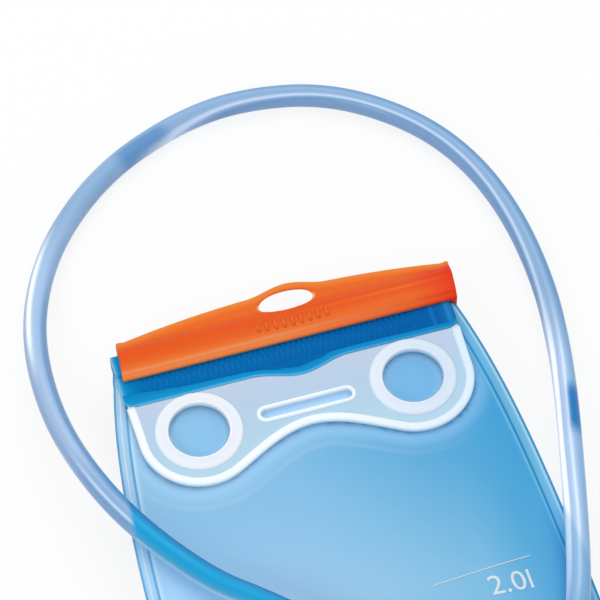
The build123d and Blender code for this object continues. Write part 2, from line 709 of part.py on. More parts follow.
def dust_cap():
    """Cap pushed over the mouthpiece and the sleeve's end."""
    start = sleeve_end - cap_overlap
    end = bite_end + cap_gap + cap_wall
    cap = along(cap_radius, start, end)
    cap = fillet(cap.edges().group_by(Axis.X)[-1], cap_round)
    return valve_place * (cap - along(cap_radius - cap_wall, start - 1, end - cap_wall))


# ---- every piece, each in a file of its own ----------------------------------------------------------------
for piece in (
    front_panel, back_panel, front_lip_strip, back_lip_strip, closure_slider, grip_tab,
    port_flange, port_seal, port_lock_ring, port_body, release_button, button_spring, check_poppet, poppet_spring,
    plug_elbow, plug_o_rings, hose_collar, hose, valve_collar, valve_adapter, valve_o_ring, valve_sleeve,
    mouthpiece, dust_cap,
):
    shape = piece()
    shape.label = piece.__name__
    export_step(shape, f"parts/{piece.__name__}.step")
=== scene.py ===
import bpy, bmesh
from math import cos, exp, hypot, pi, radians, sin, sqrt
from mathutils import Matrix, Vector, noise
from mathutils.kdtree import KDTree


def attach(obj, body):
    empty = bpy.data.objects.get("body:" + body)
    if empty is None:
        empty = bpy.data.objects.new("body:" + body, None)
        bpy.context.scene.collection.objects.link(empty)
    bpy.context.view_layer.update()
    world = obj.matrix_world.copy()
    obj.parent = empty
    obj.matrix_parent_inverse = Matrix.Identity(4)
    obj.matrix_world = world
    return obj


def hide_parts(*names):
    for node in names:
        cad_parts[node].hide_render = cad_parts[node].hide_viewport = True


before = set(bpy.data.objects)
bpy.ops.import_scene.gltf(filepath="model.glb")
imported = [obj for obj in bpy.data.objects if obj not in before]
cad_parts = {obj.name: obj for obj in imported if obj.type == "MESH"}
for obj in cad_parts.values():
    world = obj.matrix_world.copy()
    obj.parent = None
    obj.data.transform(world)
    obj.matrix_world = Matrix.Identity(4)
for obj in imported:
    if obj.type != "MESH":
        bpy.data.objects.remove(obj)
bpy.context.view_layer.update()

mm = 0.001                       # sizes below are in millimetres
print("frame loaded,", len(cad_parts), "solid pieces")


def placed(name, data):
    piece = bpy.data.objects.new(name, data)
    bpy.context.collection.objects.link(piece)
    return piece


cameraView = {"place": (-0.23764, -0.69207, 1.48560), "turn": (31.276, 0.0, -16.318), "lens": 244.96, "sensor": 36,
              "near": 0.05, "far": 30}


def placeCamera():
    v, data = cameraView, bpy.data.cameras.new("viewCamera")
    data.lens, data.sensor_width = v["lens"], v["sensor"]
    data.clip_start, data.clip_end = v["near"], v["far"]
    camera = placed("viewCamera", data)
    camera.location = v["place"]
    camera.rotation_euler = [radians(a) for a in v["turn"]]
    bpy.context.scene.camera = camera


placeCamera()
print("camera placed")


# making pieces
def addPiece(name, points, faces, soft=True):
    mesh = bpy.data.meshes.new(name)
    mesh.from_pydata([Vector(p) * mm for p in points], [], faces)
    mesh.update()
    if soft:
        mesh.shade_smooth()
    return placed(name, mesh)


def finalMesh(piece):
    graph = bpy.context.evaluated_depsgraph_get()
    return bpy.data.meshes.new_from_object(piece.evaluated_get(graph), preserve_all_data_layers=True, depsgraph=graph)


def bake(piece):
    mesh = finalMesh(piece)
    piece.modifiers.clear()
    old, piece.data = piece.data, mesh
    bpy.data.meshes.remove(old)
    return piece


def faceOutwards(piece):
    shape = bmesh.new()
    shape.from_mesh(piece.data)
    bmesh.ops.remove_doubles(shape, verts=shape.verts, dist=1e-6)
    bmesh.ops.recalc_face_normals(shape, faces=shape.faces)
    shape.to_mesh(piece.data)
    shape.free()
    return piece


def paint(piece, material):
    piece.data.materials.clear()
    piece.data.materials.append(material)


def dress(piece, material, body, slotName, *nodes):
    paint(piece, material)
    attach(piece, body)
    if nodes:
        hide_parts(*nodes)
    return piece


def shaped(name, shape):
    # piece from a bmesh, which is freed
    mesh = bpy.data.meshes.new(name)
    shape.to_mesh(mesh)
    shape.free()
    mesh.shade_smooth()
    return placed(name, mesh)


def joined(name, pieces):
    shape = bmesh.new()
    for piece in pieces:
        shape.from_mesh(piece.data)
        bpy.data.objects.remove(piece)
    return shaped(name, shape)


def skin(name, rings, closed=False):
    # body over rings of points, with its ends capped or its last ring joined to the first
    count, size, faces = len(rings), len(rings[0]), []
    for i in range(count if closed else count - 1):
        a, b = i * size, (i + 1) % count * size
        faces += [(a + k, a + (k + 1) % size, b + (k + 1) % size, b + k) for k in range(size)]
    if not closed:
        faces += [tuple(range(size))[::-1], tuple(range((count - 1) * size, count * size))]
    return faceOutwards(addPiece(name, [spot for ring in rings for spot in ring], faces))


def sweep(name, path, section, closed=False):
    # the section's points are (to the right of the way, up)
    path, rings = [Vector(p) for p in path], []
    count = len(path)
    for i, spot in enumerate(path):
        before = path[i - 1] if i or closed else spot
        after = path[(i + 1) % count] if i < count - 1 or closed else spot
        way = (after - before).normalized()
        side = way.cross(Vector((0, 0, 1))).normalized()
        up = side.cross(way)
        rings.append([spot + side * a + up * b for a, b in section])
    return skin(name, rings, closed)


def plate(name, outline, low, high, bevel, holes=()):
    # flat plate from closed outlines in the XY plane, with its edges rounded
    shape, edges = bmesh.new(), []
    for loop in [outline, *holes]:
        spots = [shape.verts.new((x * mm, y * mm, low * mm)) for x, y in loop]
        edges += [shape.edges.new((a, b)) for a, b in zip(spots, spots[1:] + spots[:1])]
    bmesh.ops.triangle_fill(shape, edges=edges, use_beauty=True)
    bmesh.ops.dissolve_limit(shape, angle_limit=0.01, verts=shape.verts, edges=shape.edges)
    grown = bmesh.ops.extrude_face_region(shape, geom=shape.faces[:], use_keep_orig=True)
    lifted = [v for v in grown["geom"] if isinstance(v, bmesh.types.BMVert)]
    bmesh.ops.translate(shape, verts=lifted, vec=(0, 0, (high - low) * mm))
    bmesh.ops.recalc_face_normals(shape, faces=shape.faces)
    piece = shaped(name, shape)
    rounding = piece.modifiers.new("edges", "BEVEL")
    rounding.width, rounding.segments, rounding.limit_method = bevel * mm, 3, "ANGLE"
    rounding.angle_limit, rounding.harden_normals = radians(50), True
    return bake(piece)


def rounded(halfWide, low, high, radius):
    # section of a bar with rounded upper corners
    points = [(-halfWide, low), (halfWide, low)]
    for centre, start in ((halfWide - radius, 0), (-halfWide + radius, pi / 2)):
        turns = [start + pi / 2 * k / 5 for k in range(6)]
        points += [(centre + radius * cos(a), high - radius + radius * sin(a)) for a in turns]
    return points


def giveValues(piece, **lists):
    for name, values in lists.items():
        piece.data.attributes.new(name, "FLOAT", "POINT").data.foreach_set("value", values)


def smooth(low, high, value):
    t = min(1.0, max(0.0, (value - low) / (high - low)))
    return t * t * (3 - 2 * t)


# node trees and finishes
def tone(text):
    # colour as it looks on a screen, as six hexadecimal digits
    parts = [int(text[i:i + 2], 16) / 255 for i in (0, 2, 4)]
    return (*[c / 12.92 if c <= 0.04045 else ((c + 0.055) / 1.055) ** 2.4 for c in parts], 1.0)


def newTree(name, kind, inputs, outputs):
    # node group with sockets listed by kind; gives the tree and the sockets inside it
    tree = bpy.data.node_groups.new(name, kind)
    for way, sockets in (("INPUT", inputs), ("OUTPUT", outputs)):
        for sort, names in sockets.items():
            for socket in names:
                tree.interface.new_socket(socket, in_out=way, socket_type="NodeSocket" + sort)
    return tree, tree.nodes.new("NodeGroupInput").outputs, tree.nodes.new("NodeGroupOutput").inputs


def addNode(tree, kind, inputs={}, output=0, **settings):
    # inputs are sockets to link or plain values; gives the chosen output
    made = tree.nodes.new(kind)
    for name, value in settings.items():
        setattr(made, name, value)
    for name, value in inputs.items():
        if isinstance(value, bpy.types.NodeSocket):
            tree.links.new(value, made.inputs[name])
        else:
            made.inputs[name].default_value = value
    return made.outputs[output]


def spanned(value, low=0.0, high=1.0, first=0.0, last=1.0):
    # takes low to high onto first to last, and holds it within them
    return addNode(value.id_data, "ShaderNodeMapRange",
                   {"Value": value, "From Min": low, "From Max": high, "To Min": first, "To Max": last})


def mixed(share, first, second):
    # colours are sockets or six-digit texts
    first, second = (tone(c) if isinstance(c, str) else c for c in (first, second))
    return addNode(share.id_data, "ShaderNodeMix", {"Factor": share, "A": first, "B": second}, output="Result",
                   data_type="RGBA")


def makeGrainGroup():
    # fine moulded grain: a height for a Bump and a colour a little varied
    tree, given, made = newTree(
        "mouldGrain", "ShaderNodeTree",
        {"Color": ["Color", "Second Color"],
         "Float": ["Cloud Scale", "Grain Scale", "Roughness", "Roughness Spread"]},
        {"Color": ["Color"], "Float": ["Roughness", "Height"]})
    place = addNode(tree, "ShaderNodeTexCoord", output="Object")
    cloud = addNode(tree, "ShaderNodeTexNoise", {"Vector": place, "Scale": given["Cloud Scale"], "Detail": 3})
    grain = addNode(tree, "ShaderNodeTexNoise", {"Vector": place, "Scale": given["Grain Scale"], "Detail": 2})
    share = spanned(cloud, 0.35, 0.65)
    colour = mixed(share, given["Color"], given["Second Color"])
    rough = addNode(tree, "ShaderNodeMath", {0: share, 1: given["Roughness Spread"], 2: given["Roughness"]},
                    operation="MULTIPLY_ADD")
    for name, socket in (("Color", colour), ("Roughness", rough), ("Height", grain)):
        tree.links.new(socket, made[name])
    return tree


def newFinish(name, **values):
    material = bpy.data.materials.new(name)
    material.use_nodes = True
    shader = material.node_tree.nodes["Principled BSDF"]
    for socket, value in values.items():
        shader.inputs[socket.replace("_", " ")].default_value = value
    return material, material.node_tree, shader


def feed(shader, **sockets):
    for name, socket in sockets.items():
        shader.id_data.links.new(socket, shader.inputs[name.replace("_", " ")])


def colourRamp(share, stops):
    # stops are a text: each one's place in percent and its colour
    colour = addNode(share.id_data, "ShaderNodeValToRGB", {"Fac": share})
    marks, stops = colour.node.color_ramp.elements, [stop.split() for stop in stops.split(", ")]
    for mark, (spot, text) in zip(marks, (stops[0], stops[-1])):
        mark.position, mark.color = float(spot) / 100, tone(text)
    for spot, text in stops[1:-1]:
        marks.new(float(spot) / 100).color = tone(text)
    return colour


def axisShare(tree, axis, low, high):
    # 0 to 1 between two stations of the object's own X, Y or Z
    place = addNode(tree, "ShaderNodeTexCoord", output="Object")
    return spanned(addNode(tree, "ShaderNodeSeparateXYZ", {"Vector": place}, output=axis), low * mm, high * mm)


def valueShare(tree, name, low=0.0, high=1.0):
    # 0 to 1 between two levels of a value kept on the mesh
    return spanned(addNode(tree, "ShaderNodeAttribute", output="Fac", attribute_name=name), low, high)


grainGroup = makeGrainGroup()
grainDepth = 0.0005


def addGrain(shader, rough=0.3, spread=0.08, bumpy=0.02, cloud=22.0, fine=500.0, **tints):
    tree = shader.id_data
    values = {name.replace("_", " "): tone(text) for name, text in tints.items()}
    values |= {"Cloud Scale": cloud, "Grain Scale": fine, "Roughness": rough, "Roughness Spread": spread}
    grain = addNode(tree, "ShaderNodeGroup", values, node_tree=grainGroup).node.outputs
    bump = addNode(tree, "ShaderNodeBump", {"Strength": bumpy, "Distance": grainDepth, "Height": grain["Height"]})
    feed(shader, Roughness=grain["Roughness"], Normal=bump)
    return grain["Color"]


def moulded(name, first, second, rough=0.35, spread=0.12, grain=0.03, **values):
    # moulded plastic or rubber with a fine grain and slightly uneven colour
    material, _, shader = newFinish(name, **values)
    feed(shader, Base_Color=addGrain(shader, rough, spread, grain, 30.0, 900.0, Color=first, Second_Color=second))
    return material


# drinking hose
hoseShape = {
    "radius": 5.0, "bore": 3.2, "sides": 36, "length": 0.856,
    "route": [(12.24, -101.69, 58.42), (38, -80, 58.42), (59, -50, 47), (75, -18, 34.5), (85, 11, 29.5),
              (95, 47, 24.5), (105, 83, 15.5), (112, 113, 9), (117, 148, 5.2), (115, 187, 5), (105, 221, 5),
              (86, 248, 5), (55, 270, 5), (17, 277, 5), (-14, 272, 5), (-48, 257, 5), (-76, 231, 6.3),
              (-93, 201, 9.8), (-101, 169, 14.7), (-101, 131, 20.7), (-92, 95, 26.2), (-79, 67, 29.3),
              (-60, 38, 33.5), (-45, 19.5, 43.5), (-31, 1, 51.5), (-16, -19, 51.5)],
}


def hoseLine():
    curve = bpy.data.curves.new("hoseLine", "CURVE")
    curve.dimensions = "3D"
    line = curve.splines.new("NURBS")
    line.points.add(len(hoseShape["route"]) - 1)
    for spot, place in zip(line.points, hoseShape["route"]):
        spot.co = (*(Vector(place) * mm), 1)
    line.order_u, line.use_endpoint_u, line.resolution_u = 3, True, 14
    holder = placed("hoseLine", curve)
    line = [v.co.copy() for v in finalMesh(holder).vertices]
    bpy.data.objects.remove(holder)
    return line


def makeHose():
    h, line, walls, up = hoseShape, hoseLine(), [], Vector((0, 0, 1))
    angles = [2 * pi * k / h["sides"] for k in range(h["sides"])]
    for i, spot in enumerate(line):
        way = (line[min(i + 1, len(line) - 1)] - line[max(i - 1, 0)]).normalized()
        up = (up - way * up.dot(way)).normalized()
        side = up.cross(way)
        walls.append([(spot / mm, side * cos(a) + up * sin(a)) for a in angles])
    rings = [[spot + out * h["radius"] for spot, out in row] + [spot + out * h["bore"] for spot, out in row[::-1]]
             for row in zip(*walls)]
    return skin("hoseTube", rings, closed=True), line


# painted light and shade round the wall, by the way each spot faces; the bag's blue painted in as refraction where
# the hose lies over it; and the painted glow of pale spots
hoseTints = {
    "clear": "12 88AEDC, 19 76A5D6, 25 9EBEE6, 29 C4DBF3, 33 BCD5F0, 38 9ABCE4, 46 8CB4DE, 56 9CC0E6, 66 86B2DE, "
             "76 68A1D6, 86 4F99D2",
    "leftBranch": "5 C6D6EE, 12 9DB8DE, 20 97B6DC, 30 A4C0E4, 46 ABC5E6, 56 ABC9EC, 66 A4C5EC, 73 7FACDA, "
                  "84 7AA7D8, 92 ABC9E8",
    "besideBag": "8 BED1ED, 20 B3C9E6, 27 CDDDF2, 32 F2F8FD, 39 EEF6FD, 44 AFC7E6, 52 B3CDEC, 58 D1E3F6, "
                 "64 A7C7E8, 74 91BEE4, 84 4FA3D6, 92 6DA9D8",
    "overBag": "0 A8D2EE, 7 48ACDA, 14 2AAAE0, 28 06A4DE, 42 14ACE4, 58 06A8E0, 70 0098D4, 80 0086C8, 92 0078B6, "
               "100 2195C9",
    "refractionPool": "0A7CC4", "glint": "F6FAFE", "light": (0.5, 0.92, 0.05, 0.42),
}
# painted refraction: deeper blue pools inside the wall: x, y, reach along the hose, the facing they lie at, its
# spread, and strength
paintedRefractionPools = [(110.0, 80.0, 17.0, 0.72, 0.16, 1.0), (-29.0, 263.0, 17.0, 0.45, 0.17, 0.55)]
# painted highlight: a pale streak along the left branch: which way it faces, how far round it lies, where it fades in
# and out
hoseGlint = {"side": (-0.958, 0.287, 0.0), "round": 0.5, "spread": 0.34, "core": 0.06, "from": (150, 185),
             "to": (240, 208), "strength": 0.85}


def markHose(piece):
    # which way each spot of the wall faces, for its painted light and shade, and how far it lies over the bag, for
    # the bag's painted refraction
    rows, g, right, streakSide = [], hoseGlint, Vector((0.72, 0.69, 0.0)), Vector(hoseGlint["side"])
    for vertex in piece.data.vertices:
        x, y = vertex.co.xy / mm
        facing = 0.5 + 0.5 * vertex.normal.dot(right)
        inside = halfWidth(bagShape["mouthY"] - y) - abs(x) if y < bagShape["mouthY"] - 30 else -1
        pools = [strength * smooth(reach, 0.5 * reach, hypot(x - px, y - py))
                 * smooth(spread, 0.4 * spread, abs(facing - at))
                 for px, py, reach, at, spread, strength in paintedRefractionPools]
        turned = abs(vertex.normal.dot(streakSide) - g["round"])
        streak = g["strength"] * smooth(g["spread"], g["core"], turned) * smooth(*g["from"], y) * smooth(*g["to"], y)
        rows.append((facing, smooth(0, 1.6, inside) * (0.3 + 0.7 * smooth(45, 5, x)),
                     smooth(-60, -95, x) * smooth(90, 120, y) * smooth(250, 210, y),
                     smooth(60, 90, x) * smooth(150, 100, y), max(pools), streak * (x < -60)))
    names = ("facing", "overBag", "leftBranch", "besideBag", "refractionPool", "glint")
    giveValues(piece, **dict(zip(names, zip(*rows))))


def hoseFinish():
    t = hoseTints
    material, tree, shader = newFinish("clearHose", IOR=1.42, Specular_IOR_Level=0.22, Transmission_Weight=0.12)
    facing = valueShare(tree, "facing")
    colour = colourRamp(facing, t["clear"])
    for name in ("leftBranch", "besideBag", "overBag"):
        colour = mixed(valueShare(tree, name), colour, colourRamp(facing, t[name]))
    for name in ("refractionPool", "glint"):
        colour = mixed(valueShare(tree, name), colour, t[name])
    # painted glow: the palest streaks give off the most light
    pale = addNode(tree, "ShaderNodeRGBToBW", {"Color": colour})
    feed(shader, Base_Color=colour, Emission_Color=colour, Emission_Strength=spanned(pale, *t["light"]))
    addGrain(shader, rough=0.04, spread=0.06, bumpy=0.03, cloud=40.0, fine=90.0)
    return material


# bag films
bagShape = {
    "mouthY": 141.5, "drop": 311.5, "halfWidth": 89.5, "flare": 15.5, "shoulder": 58.0, "corner": 38.0, "weld": 5.5,
    "domeStart": 17.0, "film": 0.6, "slack": 0.9, "lipHalf": 72.0, "portHole": 11.6,
    "front": {"flat": 22.65, "rise": 19.0, "from": 215.0, "to": 215.0, "power": 2.2},
    "back": {"flat": 21.35, "rise": 25.0, "from": 150.0, "to": 232.0, "power": 1.7},
    "columns": 84, "rows": 130, "tuck": 12.9, "tuckRows": 5, "weldMarks": [0.0, 0.6, 1.2, 2.6, 4.1, 4.9],
    "mouthDrops": [0.0, 0.3, 4.0, 8.0, 12.5], "endDrops": [301.5, 303.5, 305, 306, 307.5, 309.5, 310.6, 311.2, 311.5],
}
portPlace = (0.0, -112.0)


def halfWidth(drop, inset=0.0):
    b = bagShape
    if drop < 0.3:
        # above the mouth the seams run in under the lips
        shoulder = b["halfWidth"] - b["flare"]
        return b["lipHalf"] + (shoulder - b["lipHalf"]) * smooth(-10, 0, drop) - inset
    width = b["halfWidth"] - b["flare"] * exp(-drop / b["shoulder"])
    radius, left = b["corner"] - inset, b["drop"] - inset - drop
    if left < radius:
        width -= radius - sqrt(max(radius ** 2 - (radius - left) ** 2, 0))
    return width - inset


def rise(drop, film):
    # how far a film stands off its weld, at its middle
    start, last, f = bagShape["domeStart"], bagShape["drop"] - bagShape["weld"], bagShape[film]
    if drop <= start or drop >= last:
        return 0.0
    if drop < f["from"]:
        return f["rise"] * sin(pi / 2 * (drop - start) / (f["from"] - start)) ** f["power"]
    return f["rise"] * (1 - (max(drop - f["to"], 0) / (last - f["to"])) ** 2.6)


def slack(x, y):
    # soft hollows in the film, none under the port
    near = min(1.0, max(0.0, (hypot(x - portPlace[0], y - portPlace[1]) - 16) / 20))
    return bagShape["slack"] * near * noise.noise(Vector((x * 0.017, y * 0.011, 3.7)))


def filmCurve(t):
    # share of the half width, -1 to 1, as t goes from 0 to 1
    return -(1 - t) ** 3 - 2.1 * (1 - t) ** 2 * t + 2.1 * (1 - t) * t * t + t ** 3


def filmHeight(x, y, front=True):
    # height of the film's outer face over a point of the plan
    drop, film = bagShape["mouthY"] - y, "front" if front else "back"
    flat, height, half = bagShape[film]["flat"], rise(drop, film), halfWidth(drop, bagShape["weld"])
    if height <= 0 or abs(x) >= half:
        return flat
    low, high = 0.0, 1.0
    for _ in range(22):
        t = (low + high) / 2
        low, high = (t, high) if half * filmCurve(t) < x else (low, t)
    bulge = 4 * low * (1 - low)
    if front:
        return flat + height * bulge + slack(x, y) * bulge * min(1, height / 6)
    return max(flat - height * bulge, 0.0)


# the grip tab's outline, which the film's own marks follow
tabShape = {
    "ringX": 45.9, "ringY": 110.0, "hole": 12.6, "ringOut": 18.2, "round": 25.4, "leave": -2.05, "start": 71.9,
    "topY": 132.6, "waist": 100.6, "slot": (39.0, 4.4), "slotRim": 1.7, "slotRound": 0.7, "low": 24.8, "sheet": 26.0,
    "rim": 3.6, "rimTop": 27.0, "rimRound": 0.9, "rimEnd": 128.7, "ringTop": 27.7, "inset": 0.6, "sheetEnd": 127.6,
    "underLip": 0.95, "edge": 0.25, "holeEase": 0.3, "slotEase": 0.4,
    "ringInner": [(0, 0.9), (0.15, 0.35), (0.5, 0), (1.0, 0.12), (1.5, 0.35)],
    "ringOuter": [(1.9, 0.45), (0.9, 0.6), (0.3, 0.9), (0, 1.5)],
}


def hermite(a, b, wayA, wayB, count):
    # soft curve from a to b, leaving and reaching them along the two ways
    a, b = Vector(a), Vector(b)
    pull = (b - a).length
    wayA, wayB, spots = Vector(wayA).normalized() * pull, Vector(wayB).normalized() * pull, []
    for t in (k / count for k in range(count)):
        spots.append(a * (2 * t ** 3 - 3 * t * t + 1) + wayA * (t ** 3 - 2 * t * t + t)
                     + b * (3 * t * t - 2 * t ** 3) + wayB * (t ** 3 - t * t))
    return [tuple(s) for s in spots]


def tabEdge(inset):
    # right half of the tab's outline, from its top corner down round the ring to the waist
    s = tabShape
    radius, leave = s["round"] - inset, s["leave"]
    turns = [leave * k / 36 for k in range(37)]
    ring = [(s["ringX"] + radius * cos(a), s["ringY"] + radius * sin(a)) for a in turns]
    start, middle = (s["start"] - inset, s["topY"]), (0.0, s["waist"] + inset)
    side = hermite(start, ring[0], (-0.02, -1), (0, -1), 10)
    hollow = hermite(ring[-1], middle, (sin(leave), -cos(leave)), (-1, 0), 22)
    return side + ring[:-1] + hollow + [middle]


def wholeEdge(inset):
    right = tabEdge(inset)
    return right + [(-x, y) for x, y in reversed(right[:-1])]


def outsideTab(x, y, edge):
    # distance outside the tab's outline, 0 within it
    if y > 126 or y < 55:
        return 20.0
    near = min(hypot(x - a, y - b) for a, b in edge)
    crossings = sum((b > y) != (d > y) and x < (c - a) * (y - b) / (d - b) + a
                    for (a, b), (c, d) in zip(edge, edge[1:] + edge[:1]))
    return 0.0 if crossings % 2 else near


def openingLight(x, y):
    # painted light in the tab's slot and, less, in its two finger holes, brighter near the holes' rims, lifting the
    # shade there
    s, hole = tabShape, tabShape["hole"]
    slot = smooth(24, 19, abs(x)) * smooth(7, 4, abs(y - s["ringY"]))
    apart = hypot(abs(x) - s["ringX"], y - s["ringY"])
    rimmed = (0.28 if x > 0 else 0.12) + 0.25 * smooth(hole - 4, hole - 0.5, apart)
    return max(slot, smooth(hole + 3, hole, apart) * rimmed)


def hoseGlow(places):
    # painted light on the film beside the clear hose, lifting the hose's shadow there
    line = hoseLine()
    tree = KDTree(len(line))
    for k, spot in enumerate(line):
        tree.insert((spot.x / mm, spot.y / mm, 0), k)
    tree.balance()
    return [smooth(24, 6, tree.find((x + 3, y + 4, 0))[2]) * (0.08 + 0.36 * smooth(40, 0, x)) for x, y, _ in places]


def makeFilm(name, front):
    b, last, top, distance, faces = bagShape, bagShape["drop"] - bagShape["weld"], [], [], []
    drops = [-b["tuck"] + b["tuck"] * k / b["tuckRows"] for k in range(b["tuckRows"])]
    drops += [b["domeStart"] + (last - b["domeStart"]) * k / b["rows"] for k in range(b["rows"])]
    drops = sorted({*drops, *b["mouthDrops"], *b["endDrops"]})
    for drop in drops:
        y, outer, inner = b["mouthY"] - drop, halfWidth(drop), halfWidth(min(drop, last), b["weld"])
        seam = [outer - (outer - inner) * a / b["weld"] for a in b["weldMarks"]]
        row = [-x for x in seam] + [inner * filmCurve(k / b["columns"]) for k in range(b["columns"] + 1)] + seam[::-1]
        if drop < 0.3:
            # the slider's closed end leaves the right seam no room
            row = [x * b["lipHalf"] / outer if x > 0 else x for x in row]
        top += [(x, y, filmHeight(x, y, front)) for x in row]
        distance += [max(0.0, min(outer - abs(x), b["drop"] - drop)) for x in row]
    width, height, count = len(row), len(drops), len(top)
    low = [(x, y, z - b["film"] if front else z + b["film"]) for x, y, z in top]
    for start in range(0, count - width, width):
        for a in range(start, start + width - 1):
            if front and hypot(top[a][0] - portPlace[0], top[a][1] - portPlace[1]) < b["portHole"]:
                continue
            quad = (a, a + width, a + width + 1, a + 1)
            under = tuple(i + count for i in reversed(quad))
            faces += [quad, under] if front else [quad[::-1], under[::-1]]
    rim = [r * width for r in range(height)] + [(height - 1) * width + c for c in range(1, width)]
    rim += [r * width + width - 1 for r in range(height - 2, -1, -1)] + list(range(width - 2, 0, -1))
    for a, c in zip(rim, rim[1:] + rim[:1]):
        quad = (a, a + count, c + count, c)
        faces.append(quad if front else quad[::-1])
    piece = addPiece(name, top + low, faces)
    giveValues(piece, fromEdge=distance * 2)
    if front:
        edge = wholeEdge(0)
        away = [outsideTab(x, y, edge) for x, y, _ in top]
        # painted light: in the slot and finger holes, beside the hose, and just outside the tab to lift its shadow
        opened = [max(openingLight(x, y), near, 0.3 * smooth(9, 2, d) * (d > 0))
                  for (x, y, _), near, d in zip(top, hoseGlow(top), away)]
        giveValues(piece, fromTab=away * 2, opened=opened * 2)
    return piece


# colours across the bag, with painted light: paler to the left and further down, deeper blue to the right; then
# inwards from its left and right edges, with a painted highlight line along the seams, and outwards from the tab
bagTints = {
    "high": "0 98D3F8, 42 8BCCF7, 60 73C3F0, 76 5AB5EA, 100 41AEE6",
    "low": "0 A9DBFC, 30 B0DEFF, 55 A0D8FB, 80 84CCF3, 92 5CB9EB, 100 44AFE6",
    "edgeLeft": "9 57A9DB, 13 A8D2EF, 30 B4DAF3, 33.5 E8F4FD, 37 B0D6F1, 57 A6D0EE, 62 5AA9DA, "
                "70 5AA9DA, 76 CCE6F8, 90 B0DAF5",
    "edgeRight": "9 2E97CE, 13 86C8EC, 20 B4DDF4, 28 74BFE8, 58 66B8E4, 63 1E8CC6, 70 1E8CC6, "
                 "77 78C2EA, 90 50B0E4",
    "paleBand": "0 000000, 2 808080, 30 646464, 62 5C5C5C, 70 909090, 78 909090, 87 000000",
    "skirt": "C4E2F5", "paintedLightTint": "B8DDF6",
}


def filmFinish(name, alpha, skirt):
    t = bagTints
    material, tree, shader = newFinish(name, IOR=1.45, Specular_IOR_Level=0.15)
    # painted light: the film is paler on the left and further down, deeper blue on the right
    across = axisShare(tree, "X", -80, 80)
    low, high = colourRamp(across, t["low"]), colourRamp(across, t["high"])
    colour = mixed(axisShare(tree, "Y", 15, 85), low, high)
    if skirt:
        # paler within about 9 mm of the tab, with a paler line about 9.5 mm out, fading out towards the right
        paleBand = colourRamp(valueShare(tree, "fromTab", 0.0, 13.0), t["paleBand"])
        paled = mixed(paleBand, colour, t["skirt"])
        colour = mixed(axisShare(tree, "X", 75, 0), colour, paled)
        # painted light: paler and glowing where that value is high
        opened = valueShare(tree, "opened")
        colour = mixed(opened, colour, t["paintedLightTint"])
        feed(shader, Emission_Color=colour, Emission_Strength=spanned(opened, last=0.3))
    edge, inner = valueShare(tree, "fromEdge", 0.0, 8.0), valueShare(tree, "fromEdge", 6.6, 8.0)
    # the seams too are paler on the left and deeper blue on the right, as painted light; their thin pale line is a
    # painted highlight
    left, right = colourRamp(edge, t["edgeLeft"]), colourRamp(edge, t["edgeRight"])
    seam = mixed(axisShare(tree, "X", -40, 60), left, right)
    seen = spanned(inner, first=min(1.0, alpha + 0.1), last=alpha)
    feed(shader, Base_Color=mixed(inner, seam, colour), Alpha=seen)
    addGrain(shader, spread=0.1, cloud=14.0, fine=60.0)
    return material


dress(makeFilm("bagFront", True), filmFinish("frontFilm", 0.82, True), "bag", "bag_film", "front_panel")
dress(makeFilm("bagBack", False), filmFinish("backFilm", 0.7, False), "bag", "bag_film", "back_panel")
print("bag films made")

hoseTube, hosePath = makeHose()
markHose(hoseTube)
dress(hoseTube, hoseFinish(), "tube_kit", "hose_clear", "hose")
print("hose made,", len(hosePath), "stations")


# printed scale: each mark's text, its line's left end and right end
scalePrint = {"marks": [("2.0l", 22.0, 11.4, 66.5, 16.3), ("1.5l", 30.0, -30.0, 66.5, -28.0),
                        ("1.0l", 36.0, -70.0, 66.5, -69.0), ("0.5l", 38.0, -110.0, 64.0, -110.0)],
              "letter": 13.2, "inset": 2.5, "drop": 6.0, "tall": 0.69, "line": 0.45, "over": 0.14, "thick": 0.06}


def onFilm(piece):
    # lays a flat print on the bag's front film
    for vertex in piece.data.vertices:
        vertex.co.z += (filmHeight(vertex.co.x / mm, vertex.co.y / mm) + scalePrint["over"]) * mm
    return piece


def makeScale():
    s, pieces = scalePrint, []
    half, thick = s["line"] / 2, s["thick"] / 2
    for text, x, y, farX, farY in s["marks"]:
        curve = bpy.data.curves.new("scaleText", "FONT")
        curve.body, curve.size, curve.align_x, curve.extrude = text, s["letter"] * mm, "RIGHT", thick * mm
        curve.resolution_u = 6
        holder = placed("scaleText", curve)
        holder.location = ((farX - s["inset"]) * mm, (farY - s["drop"] - s["letter"] * s["tall"]) * mm, 0)
        bpy.context.view_layer.update()
        mesh = finalMesh(holder)
        mesh.transform(holder.matrix_world)
        bpy.data.objects.remove(holder)
        path = [(x + (farX - x) * k / 24, y + (farY - y) * k / 24, 0) for k in range(25)]
        line = sweep("scaleLine", path, [(-half, -thick), (half, -thick), (half, thick), (-half, thick)])
        pieces += [placed("scaleText", mesh), line]
    return onFilm(joined("scaleMarks", pieces))


printWhite = moulded("printWhite", "DDE9F2", "D6E4EF", rough=0.4, grain=0.02, Specular_IOR_Level=0.2)
dress(makeScale(), printWhite, "bag", "bag_film")
print("scale printed")


# mouth lips; front and back give the strip's low and high face, then the bead's
lipShape = {
    "half": 72.0, "lower": 129.2, "top": 154.5, "beadLow": 144.5, "beadRound": 1.3, "dipMiddle": 2.6, "dipHalf": 21.0,
    "dip": 4.2, "corner": 4.0, "edge": 0.4, "front": (22.75, 24.7, 22.75, 26.15), "back": (19.3, 21.25, 17.85, 21.25),
}


